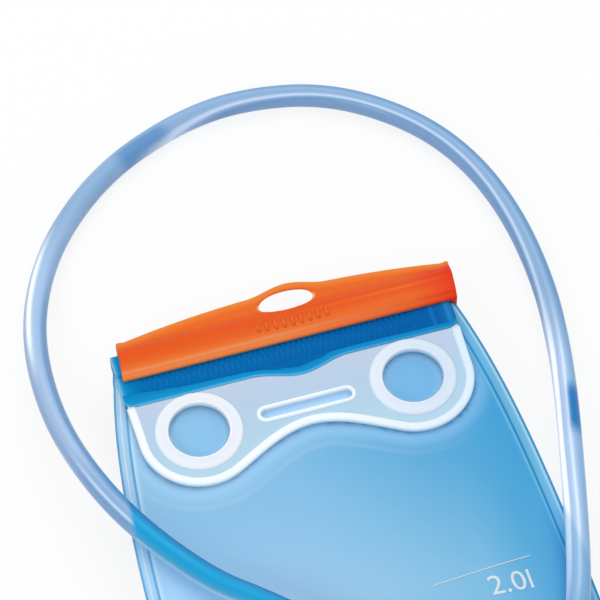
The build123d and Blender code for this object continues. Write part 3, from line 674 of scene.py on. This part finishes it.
def lipLower(x, dipped=True):
    # lower edge of the strip at a station across
    s = lipShape
    y, near = s["lower"], s["half"] - abs(x)
    if dipped:
        y -= s["dip"] * smooth(s["dipHalf"], 0, abs(x - s["dipMiddle"]))
    if near < s["corner"]:
        y += s["corner"] - sqrt(max(s["corner"] ** 2 - (s["corner"] - near) ** 2, 0))
    return y


def lipOutline(dipped):
    s = lipShape
    flat = s["half"] - s["corner"]
    ends = [s["half"] - s["corner"] * (1 - cos(pi / 2 * k / 6)) for k in range(7)]
    xs = [-x for x in ends] + [-flat + 2 * flat * k / 68 for k in range(1, 68)] + ends[::-1]
    return [(x, lipLower(x, dipped)) for x in xs] + [(s["half"], s["top"]), (-s["half"], s["top"])]


def makeLip(name, low, high, beadLow, beadHigh, dipped):
    s = lipShape
    strip = plate(name + "Strip", lipOutline(dipped), low, high, s["edge"])
    middle, half = (s["beadLow"] + s["top"]) / 2, (s["top"] - s["beadLow"]) / 2
    section = rounded(half, 0, beadHigh - beadLow, s["beadRound"])
    if not dipped:
        section = [(a, beadHigh - beadLow - b) for a, b in section]
    bead = sweep(name + "Bead", [(-s["half"], middle, beadLow), (s["half"], middle, beadLow)], section)
    return joined(name, [strip, bead])


lipTints = ("0 9CCBEE, 0.4 5CB2E2, 0.9 1C9AD6, 1.7 068FCC, 2.6 0185C5, 3.8 007ABE, 6 0072B8, 9 006CB4, 30 0069B2, "
            "60 0066B0, 92.5 0060AC, 93.5 1078BE, 94.5 0060AC, 97.2 0A6DB6, 98 2A86C8, 100 0A66B0")


def lipFinish(name, stops):
    material, tree, shader = newFinish(name, IOR=1.46, Specular_IOR_Level=0.03)
    across = axisShare(tree, "X", -lipShape["half"], lipShape["half"])
    feed(shader, Base_Color=colourRamp(across, stops))
    addGrain(shader, bumpy=0.04, cloud=26.0, fine=700.0)
    return material


lipBlue = lipFinish("lipBlue", lipTints)
ribBlue = lipFinish("ribBlue", "0 0678C2, 50 0670BA, 100 0264B0")
dress(makeLip("lipFront", *lipShape["front"], True), lipBlue, "bag", "lip_blue", "front_lip_strip")
dress(makeLip("lipBack", *lipShape["back"], False), lipBlue, "bag", "lip_blue", "back_lip_strip")

# upper edge of the welded band along the strip: station across, distance below the slider's edge
bandTop = [(-72, 5.9), (-65, 6.3), (-56, 7.4), (-46, 8.2), (-39, 8.6), (-22, 9.0), (-14, 9.9), (-6, 11.7),
           (2.6, 12.7), (11, 11.2), (18, 9.3), (34, 9.2), (53, 9.5), (72, 9.7)]
# rows across the band are (distance from the strip's edge, height over its face)
bandShape = {"half": 71.7, "stations": 180, "base": 24.5, "face": 24.72, "crown": 25.0, "fall": 0.35, "least": 1.9,
             "most": 3.4, "rows": [(-0.9, 0.0), (-0.5, 0.14), (-0.15, 0.24), (0.1, 0.34), (0.45, 0.42),
                                  (0.8, 0.36), (1.2, 0.3)]}
# the band's colours upwards from its lower edge, whose thin pale line is a painted highlight, and the one it turns to
# on its right
bandTints = {"up": "11 3C8CC0, 16 62BCE8, 26 4CB2E4, 34 0A96D2, 60 0591D0, 85 0285C7, 100 0178BE",
             "right": "0A80C0"}


def bandUpper(x):
    for (a, da), (b, db) in zip(bandTop, bandTop[1:]):
        if x <= b:
            return bagShape["mouthY"] - (da + (db - da) * smooth(a, b, x))


def makeWeldBand():
    # low welded bead along the strip's lower edge, with each spot's distance from that edge
    s, rings, distance = bandShape, [], []
    for k in range(s["stations"] + 1):
        x = -s["half"] + 2 * s["half"] * k / s["stations"]
        low = lipLower(x)
        high = max(bandUpper(x), low + s["least"])
        rows = [(d, s["face"] + h) for d, h in s["rows"]]
        rows += [(high - low - s["fall"], s["crown"]), (high - low, s["face"])]
        rings.append([(x, low + d, z) for d, z in rows] + [(x, low + d, s["base"]) for d, _ in reversed(rows)])
        marks = [min(d, s["most"]) for d, _ in rows]
        distance += marks + marks[::-1]
    band = skin("lipWeldBand", rings)
    giveValues(band, fromLower=distance)
    return band


def bandFinish():
    material, tree, shader = newFinish("weldBandBlue", IOR=1.46, Specular_IOR_Level=0.05)
    up = colourRamp(valueShare(tree, "fromLower", -0.9, 4.4), bandTints["up"])
    feed(shader, Base_Color=mixed(axisShare(tree, "X", 0, 110), up, bandTints["right"]))
    addGrain(shader, rough=0.25, bumpy=0.03, cloud=30.0, fine=600.0)
    return material


dress(makeWeldBand(), bandFinish(), "bag", "lip_blue")

# a row of ribs; lengths give each rib's length at stations across
ribRow = {"count": 49, "pitch": 2.37, "first": (-62.0, 141.2, 24.66), "width": 1.2, "height": 0.16,
          "lengths": [(-63, 5.2), (-58, 6.8), (-46, 7.8), (-39, 8.2), (-22, 8.6), (-14, 8.8), (20, 8.8), (44, 8.4),
                      (53, 6.5)]}


def makeRowTree(treeName, lengths):
    # a row of rounded bars, each as long as the curve says at its station
    tree, given, made = newTree(
        treeName, "GeometryNodeTree",
        {"Int": ["Count"], "Vector": ["First"], "Material": ["Finish"],
         "Float": ["Pitch", "Width", "Height", "Longest", "Span Start", "Span End"]}, {"Geometry": ["Geometry"]})
    step = addNode(tree, "ShaderNodeCombineXYZ", {"X": given["Pitch"]})
    line = addNode(tree, "GeometryNodeMeshLine",
                   {"Count": given["Count"], "Start Location": given["First"], "Offset": step}, mode="OFFSET")
    bar = addNode(tree, "GeometryNodeMeshCylinder", {"Vertices": 10, "Radius": 0.5, "Depth": 1.0})
    lying = addNode(tree, "GeometryNodeTransform",
                    {"Geometry": bar, "Rotation": (pi / 2, 0, 0), "Translation": (0, -0.5, 0)})
    place = addNode(tree, "GeometryNodeInputPosition")
    across = addNode(tree, "ShaderNodeSeparateXYZ", {"Vector": place}, output="X")
    curve = addNode(tree, "ShaderNodeFloatCurve", {"Value": spanned(across, given["Span Start"], given["Span End"])})
    long = addNode(tree, "ShaderNodeMath", {0: curve, 1: given["Longest"]}, operation="MULTIPLY")
    size = addNode(tree, "ShaderNodeCombineXYZ", {"X": given["Width"], "Y": long, "Z": given["Height"]})
    bars = addNode(tree, "GeometryNodeInstanceOnPoints", {"Points": line, "Instance": lying, "Scale": size})
    real = addNode(tree, "GeometryNodeRealizeInstances", {"Geometry": bars})
    soft = addNode(tree, "GeometryNodeSetShadeSmooth", {"Geometry": real})
    shown = addNode(tree, "GeometryNodeSetMaterial", {"Geometry": soft, "Material": given["Finish"]})
    tree.links.new(shown, made["Geometry"])
    first, last, longest = lengths[0][0], lengths[-1][0], max(v for _, v in lengths)
    spots = [((x - first) / (last - first), v / longest) for x, v in lengths]
    points = curve.node.mapping.curves[0].points
    for spot in spots[1:-1]:
        points.new(*spot)
    points[0].location, points[len(points) - 1].location = spots[0], spots[-1]
    curve.node.mapping.update()
    return tree


def growGeometry(name, tree, values):
    # object made by a node tree alone; values go in by socket name
    piece = placed(name, bpy.data.meshes.new(name))
    grower = piece.modifiers.new("grow", "NODES")
    grower.node_group = tree
    for item in tree.interface.items_tree:
        if item.in_out == "INPUT":
            grower[item.identifier] = values[item.name]
    return bake(piece)


def makeRow(name, row, finish):
    lengths = row["lengths"]
    return growGeometry(name, makeRowTree(name, lengths), {
        "Count": row["count"], "Pitch": row["pitch"] * mm, "First": tuple(c * mm for c in row["first"]),
        "Width": row["width"] * mm, "Height": 2 * row["height"] * mm, "Longest": max(v for _, v in lengths) * mm,
        "Span Start": lengths[0][0] * mm, "Span End": lengths[-1][0] * mm, "Finish": finish})


mouthRibs = dress(makeRow("mouthRibs", ribRow, ribBlue), ribBlue, "bag", "lip_blue")
print("mouth lips made,", len(mouthRibs.data.polygons), "rib faces")


# grip tab
def circle(x, y, radius):
    return [(x + radius * cos(a), y + radius * sin(a)) for a in (2 * pi * k / 64 for k in range(64))]


def stadium(long, wide):
    radius, reach, middle = wide / 2, (long - wide) / 2, tabShape["ringY"]
    turns = [-pi / 2 + pi * k / 16 for k in range(17)]
    right = [(reach + radius * cos(a), middle + radius * sin(a)) for a in turns]
    return right + [(-x, 2 * middle - y) for x, y in right]


def lathe(name, x, y, profile):
    turns = [2 * pi * k / 96 for k in range(96)]
    return skin(name, [[(x + r * cos(a), y + r * sin(a), z) for r, z in profile] for a in turns], closed=True)


def makeTabSheet():
    s = tabShape
    holes = [circle(side * s["ringX"], s["ringY"], s["hole"] + s["holeEase"]) for side in (-1, 1)]
    holes.append(stadium(*(size + s["slotEase"] for size in s["slot"])))
    below = [(x, y) for x, y in wholeEdge(s["inset"]) if y < s["sheetEnd"]]
    half = below[0][0]
    top = [(x, lipLower(x) - s["underLip"]) for x in (-half + 2 * half * k / 60 for k in range(61))]
    return plate("tabSheet", below + top, s["low"], s["sheet"], s["edge"], holes)


def makeTabBead():
    s = tabShape
    path = [(x, y, 0) for x, y in wholeEdge(s["rim"] / 2) if y < s["rimEnd"]]
    half, wall, turns = s["rim"] / 2, s["rimTop"] - s["rimRound"], [pi * k / 12 for k in range(13)]
    section = [(half * cos(a), wall + s["rimRound"] * sin(a) ** 0.8) for a in turns]
    return sweep("tabBead", path, [(half, s["low"]), *section, (-half, s["low"])])


def makeFingerRings():
    s = tabShape
    inner, outer, low, top = s["hole"], s["ringOut"], s["low"], s["ringTop"]
    profile = [(inner, low)] + [(inner + a, top - b) for a, b in s["ringInner"]]
    profile += [(outer - a, top - b) for a, b in s["ringOuter"]] + [(outer, low)]
    rings = joined("fingerRings", [lathe("fingerRing", side * s["ringX"], s["ringY"], profile) for side in (-1, 1)])
    giveValues(rings, fromHole=[hypot(abs(v.co.x / mm) - s["ringX"], v.co.y / mm - s["ringY"]) - inner
                                for v in rings.data.vertices])
    return rings


def makeSlotRim():
    s = tabShape
    path = [(x, y, 0) for x, y in stadium(*(size + s["slotRim"] for size in s["slot"]))]
    return sweep("slotRim", path, rounded(s["slotRim"] / 2, s["low"], s["rimTop"], s["slotRound"]), closed=True)


# the sheet's colours upwards, the rims' outwards from a finger hole, brighter at their edges as painted highlights,
# and on their right
tabTints = {"sheet": "0 BFE0F4, 35 BBDCF3, 65 BED9F1, 100 C9D8F1",
            "ring": "13 F4F8FD, 22 EAEEF8, 70 E9F0FA, 85 EFF5FC, 100 F0F6FD",
            "bead": "0 ECF4FB, 100 E6F0F9", "right": "C0DCF2"}


def tabFinish():
    material, tree, shader = newFinish("tabClear", IOR=1.46, Specular_IOR_Level=0.15, Alpha=0.93)
    feed(shader, Base_Color=colourRamp(axisShare(tree, "Y", 92, 128), tabTints["sheet"]))
    addGrain(shader, spread=0.1)
    return material


def rimFinish(name, stops, light):
    # milky rims with a faint painted glow: they keep each spot's distance from the finger hole
    material, tree, shader = newFinish(name, IOR=1.46, Specular_IOR_Level=0.3, Emission_Color=tone("FFFFFF"),
                                       Emission_Strength=light)
    milky = colourRamp(valueShare(tree, "fromHole", 0.0, 5.6), stops)
    feed(shader, Base_Color=mixed(axisShare(tree, "X", 0, 110), milky, tabTints["right"]))
    addGrain(shader, rough=0.25)
    return material


dress(makeTabSheet(), tabFinish(), "bag", "tab_clear", "grip_tab")
dress(makeFingerRings(), rimFinish("ringWhite", tabTints["ring"], 0.04), "bag", "tab_clear")
beadWhite = rimFinish("beadWhite", tabTints["bead"], 0.1)
for piece in (makeTabBead(), makeSlotRim()):
    dress(piece, beadWhite, "bag", "tab_clear")
print("grip tab made")


# slide-on closure; profiles give (distance up, half thickness), the crest's downwards from the crest;
# the eye is (x, y, half length, half width), and its rings (depth, width share, rise) open it towards the back
sliderShape = {
    "start": -69.9, "end": 75.1, "middle": 2.6, "axisZ": 22.0, "height": 19.3, "arch": 6.4, "hump": 3.0,
    "humpHalf": 18.0, "humpX": 5.0, "nub": 0.85, "nubFrom": (3.4, 0.9), "lean": 0.1, "neck": 3.0, "channel": 4.45,
    "channelLow": 2.7, "channelHigh": 13.3, "wallX": 72.3, "voxel": 0.5, "steps": 116,
    "profile": [(0.0, 4.2), (0.35, 4.75), (1.2, 5.0), (2.3, 5.15), (2.5, 5.6), (3.1, 5.95), (4.8, 6.25), (7.0, 6.35),
                (9.2, 6.25), (11.2, 6.1), (12.8, 5.75), (13.8, 5.2), (14.8, 4.5), (15.8, 3.75), (16.8, 3.0)],
    "crest": [(2.2, 2.1), (1.0, 2.1), (0.35, 1.7), (0, 0.9)],
    "eye": (5.9, 161.2, 11.6, 5.1),
    "eyeRings": [(-9, 1.2, 1.4), (-2.2, 1.17, 1.1), (0.0, 1.08, 0.5), (1.5, 1.0, 0), (2.6, 1.05, 0), (9, 1.1, 0)],
}


def crestHeight(x):
    s = sliderShape
    across, half = x - s["middle"], (s["end"] - s["start"]) / 2
    hump = cos(pi / 2 * min(abs(x - s["humpX"]) / s["humpHalf"], 1)) ** 2
    nub = s["nub"] * smooth(*s["nubFrom"], half - abs(across))
    return s["height"] + s["arch"] * (1 - (across / half) ** 2) + s["hump"] * hump + nub


def cutAway(piece, cutter):
    cut = piece.modifiers.new("cut", "BOOLEAN")
    cut.operation, cut.solver, cut.object = "DIFFERENCE", "EXACT", cutter
    bake(piece)
    bpy.data.objects.remove(cutter)


def bar(name, low, high):
    (xl, yl, zl), (xh, yh, zh) = low, high
    return skin(name, [[(x, yl, zl), (x, yh, zl), (x, yh, zh), (x, yl, zh)] for x in (xl, xh)])


def makeSlider():
    s, y0, z, rings = sliderShape, bagShape["mouthY"], sliderShape["axisZ"], []
    for k in range(s["steps"] + 1):
        x = s["start"] + (s["end"] - s["start"]) * k / s["steps"]
        front = s["profile"] + [(crestHeight(x) - d, h) for d, h in s["crest"]]
        loop = front + [(d, -h) for d, h in reversed(front)]
        rings.append([(x, y0 + d, z + h) for d, h in loop])
    slider = skin("closureSlider", rings)
    outside, wall, low, high = s["start"] - 2, s["wallX"], y0 + s["channelLow"], y0 + s["channelHigh"]
    cutAway(slider, bar("channel", (outside, low, z - s["channel"]), (wall, high, z + s["channel"])))
    cutAway(slider, bar("neck", (outside, y0 - 2, z - s["neck"]), (wall, low + 1, z + s["neck"])))
    x, y, halfLong, halfWide = s["eye"]
    x -= s["lean"] * (y - y0)
    turns = [2 * pi * k / 64 for k in range(64)]
    eye = [[(x + halfLong * w * cos(a), y + up + halfWide * w * sin(a), z + h) for a in turns]
           for h, w, up in s["eyeRings"]]
    cutAway(slider, skin("hangEye", eye))
    fine = slider.modifiers.new("fine", "REMESH")
    fine.mode, fine.voxel_size, fine.adaptivity = "VOXEL", s["voxel"] * mm, 0.0
    soft = slider.modifiers.new("soft", "SMOOTH")
    soft.factor, soft.iterations = 0.5, 5
    bake(slider)
    # distances from the crest and from the hang eye; the eye's is raised above its middle so that only its lower rim
    # takes the painted highlight
    fromCrest, fromHole = [], []
    for vertex in slider.data.vertices:
        spotX, spotY = vertex.co.x / mm, vertex.co.y / mm
        fromCrest.append(crestHeight(spotX) - (spotY - y0))
        fromHole.append(hypot((spotX - x) / halfLong, (spotY - y) / halfWide) + 0.1 * smooth(-1, 2, spotY - y))
        vertex.co.x += s["lean"] * (spotY - y0) * mm
    giveValues(slider, fromCrest=fromCrest, fromHole=fromHole)
    slider.data.shade_smooth()
    return slider


# colours up the slider from its lower edge: at its left end and at its right end; the salmon lower lip and its pale
# line on the left, and the lighter band across the right, are painted highlights
sliderTints = {
    "left": "0 F68A48, 10 F38040, 14.5 F79A62, 20 EF7628, 36 EB6014, 55 E9560E, 80 EA5A10, 100 EE6A1A",
    "right": "0 EC5C28, 12 EE6428, 32 EE6A20, 50 EA5616, 58 F0722C, 63 EA5416, 85 EC5E1A, 100 EE6820",
    # crest: painted highlight along the top edge; hole: painted highlight on the hang eye's lower rim; end: redder
    # towards the right end
    "crest": "F28A32", "hole": "FFC9A0", "end": "E8360C",
}


def sliderFinish():
    t = sliderTints
    material, tree, shader = newFinish("sliderOrange", IOR=1.46, Specular_IOR_Level=0.14)
    up = axisShare(tree, "Y", 141.5, 159.5)
    colour = mixed(axisShare(tree, "X", -5, 60), colourRamp(up, t["left"]), colourRamp(up, t["right"]))
    colour = mixed(axisShare(tree, "X", 56, 75), colour, t["end"])
    # painted highlights along the crest and round the hang eye's lower rim
    colour = mixed(valueShare(tree, "fromCrest", 4.6, 0.8), colour, t["crest"])
    feed(shader, Base_Color=mixed(valueShare(tree, "fromHole", 1.13, 1.05), colour, t["hole"]))
    addGrain(shader, rough=0.32, spread=0.1, cloud=18.0)
    return material


closureSlider = dress(makeSlider(), sliderFinish(), "closure_slider", "slider_orange", "closure_slider")
gripRow = {"count": 9, "pitch": 3.7, "first": (-9.5, 151.2, 28.4), "width": 1.5, "height": 0.62,
           "lengths": [(-10, 3.8), (5.3, 4.6), (20.6, 3.8)]}
# a little brighter than the slider's orange, as painted light against the shade on the small bars
gripOrange = moulded("gripOrange", "F2702A", "EE6C28", spread=0.08, Specular_IOR_Level=0.14)
dress(makeRow("gripBars", gripRow, gripOrange), gripOrange, "closure_slider", "slider_orange")
print("slider made,", len(closureSlider.data.polygons), "faces")


# port, plug and valve: each finish's two tones, roughness, grain, other values and the nodes it goes on
fittings = {
    "portBlue": ("1E7FC2", "2486C8", 0.35, 0.06, {"Coat_Weight": 0.2}, ["port_flange"]),
    "buttonOrange": ("E8581A", "EE6A26", 0.35, 0.05, {}, ["release_button", "valve_sleeve"]),
    "portGrey": ("3A4148", "42494F", 0.42, 0.1, {}, ["port_lock_ring", "port_body"]),
    "portWhite": ("DDE3E8", "D2DAE0", 0.3, 0.04, {}, ["check_poppet"]),
    "plugDark": ("262A2E", "2E3338", 0.38, 0.1, {"Coat_Weight": 0.15},
                 ["plug_elbow", "hose_collar", "valve_collar", "valve_adapter"]),
    "sealRubber": ("1A1B1C", "222324", 0.6, 0.15, {}, ["port_seal", "plug_o_rings", "valve_o_ring"]),
    "springSteel": ("B9BDC0", "A7ACB0", 0.22, 0.05, {"Metallic": 1.0}, ["button_spring", "poppet_spring"]),
    "biteSilicone": ("BFE0F2", "B0D8EE", 0.4, 0.03, {"Subsurface_Weight": 0.3, "Subsurface_Radius": (0.004,) * 3},
                     ["mouthpiece"]),
    "capClear": ("DDEBF4", "D3E5F0", 0.2, 0.02, {"Alpha": 0.45, "Coat_Weight": 0.4}, ["dust_cap"]),
}
finishes = {}
for name, (first, second, rough, grain, values, nodes) in fittings.items():
    finishes[name] = moulded(name, first, second, rough=rough, grain=grain, **values)
    for node in nodes:
        paint(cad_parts[node], finishes[name])
print("port, plug and valve finished")


# grip ribs on the collars and the valve sleeve: place, axis, count, radius, rib's radius, length, finish, body
ribRings = {
    "hoseCollarRibs": ((15.8, -98.55, 58.28), (0.749, 0.662, -0.03), 22, 6.85, 0.42, 7.0, "plugDark", "tube_kit"),
    "valveCollarRibs": ((-19.72, -14.04, 51.5), (0.6, -0.8, 0.0), 22, 6.85, 0.42, 8.6, "plugDark", "tube_kit"),
    "valveSleeveRibs": ((-10.75, -26.0, 51.5), (0.6, -0.8, 0.0), 20, 7.3, 0.55, 6.4, "buttonOrange", "valve_head"),
}
ribSlots = {"plugDark": "plug_dark", "buttonOrange": "slider_orange"}


def makeRibTree():
    # round bars that stand in a ring and point along an axis
    tree, given, made = newTree(
        "ribRing", "GeometryNodeTree",
        {"Int": ["Count"], "Float": ["Radius", "Rib Radius", "Length"], "Vector": ["Place", "Axis"],
         "Material": ["Finish"]}, {"Geometry": ["Geometry"]})
    ring = addNode(tree, "GeometryNodeMeshCircle", {"Vertices": given["Count"], "Radius": given["Radius"]})
    rib = addNode(tree, "GeometryNodeMeshCylinder",
                  {"Vertices": 12, "Radius": given["Rib Radius"], "Depth": given["Length"]})
    ribs = addNode(tree, "GeometryNodeInstanceOnPoints", {"Points": ring, "Instance": rib})
    aim = addNode(tree, "FunctionNodeAlignRotationToVector", {"Vector": given["Axis"]}, axis="Z")
    turned = addNode(tree, "GeometryNodeTransform",
                     {"Geometry": ribs, "Rotation": aim, "Translation": given["Place"]})
    real = addNode(tree, "GeometryNodeRealizeInstances", {"Geometry": turned})
    shown = addNode(tree, "GeometryNodeSetMaterial", {"Geometry": real, "Material": given["Finish"]})
    tree.links.new(shown, made["Geometry"])
    return tree


ribTree, ribPieces = makeRibTree(), []
for name, (place, axis, count, radius, rib, length, finish, body) in ribRings.items():
    ribs = growGeometry(name, ribTree, {
        "Count": count, "Radius": radius * mm, "Rib Radius": rib * mm, "Length": length * mm,
        "Place": tuple(Vector(place) * mm), "Axis": axis, "Finish": finishes[finish]})
    ribPieces.append(dress(ribs, finishes[finish], body, ribSlots[finish]))
print("grip ribs made,", len(ribPieces), "rings")


# floor and light: size of the floor in metres, each lamp's place, size and power
stageLook = {"floor": 3.0, "under": 0.3, "paper": 0.8, "glow": 0.8, "white": 1.05, "world": 0.62,
             "lamps": [("topLamp", (0.25, 0.75, 1.5), 1.5, 9.0), ("sideLamp", (-0.95, -0.75, 1.15), 0.6, 5.0)]}


def whiteRays(tree):
    # 1 for what the camera, gloss and clear stuff see
    rays = addNode(tree, "ShaderNodeLightPath").node.outputs
    seen = addNode(tree, "ShaderNodeMath", {0: rays["Is Camera Ray"], 1: rays["Is Glossy Ray"]}, operation="MAXIMUM")
    return addNode(tree, "ShaderNodeMath", {0: seen, 1: rays["Is Transmission Ray"]}, operation="MAXIMUM")


def twoLooks(tree, output, share, plain, seen):
    # one surface for the light, another for what looks at it
    mix = addNode(tree, "ShaderNodeMixShader", {"Fac": share, 1: plain, 2: seen})
    tree.links.new(mix, tree.nodes[output].inputs["Surface"])


def makeStage():
    s, white = stageLook, (1, 1, 1, 1)
    size, under = s["floor"] / 2 / mm, -s["under"]
    corners = [(x * size, y * size, under) for x, y in ((-1, -1), (1, -1), (1, 1), (-1, 1))]
    floor = addPiece("floor", corners, [(0, 1, 2, 3)], False)
    material, tree, shader = newFinish("floorPaper", Base_Color=(*[s["paper"]] * 3, 1), Roughness=0.9,
                                       Specular_IOR_Level=0.1)
    share = addNode(tree, "ShaderNodeMath", {0: whiteRays(tree), 1: s["glow"]}, operation="MULTIPLY")
    glow = addNode(tree, "ShaderNodeEmission", {"Strength": s["white"]})
    twoLooks(tree, "Material Output", share, shader.outputs["BSDF"], glow)
    floor.data.materials.append(material)
    world = bpy.data.worlds.new("paleRoom")
    bpy.context.scene.world = world
    world.use_nodes = True
    tree, plain = world.node_tree, world.node_tree.nodes["Background"]
    plain.inputs["Color"].default_value, plain.inputs["Strength"].default_value = white, s["world"]
    pale = addNode(tree, "ShaderNodeBackground", {"Color": white})
    twoLooks(tree, "World Output", whiteRays(tree), plain.outputs["Background"], pale)
    for name, place, size, power in s["lamps"]:
        lamp = bpy.data.lights.new(name, "AREA")
        lamp.size, lamp.energy = size, power
        holder = placed(name, lamp)
        holder.location = place
        holder.rotation_euler = (-Vector(place)).to_track_quat("-Z", "Y").to_euler()


makeStage()
bpy.context.scene.view_settings.view_transform = "Standard"
print("floor and light set")
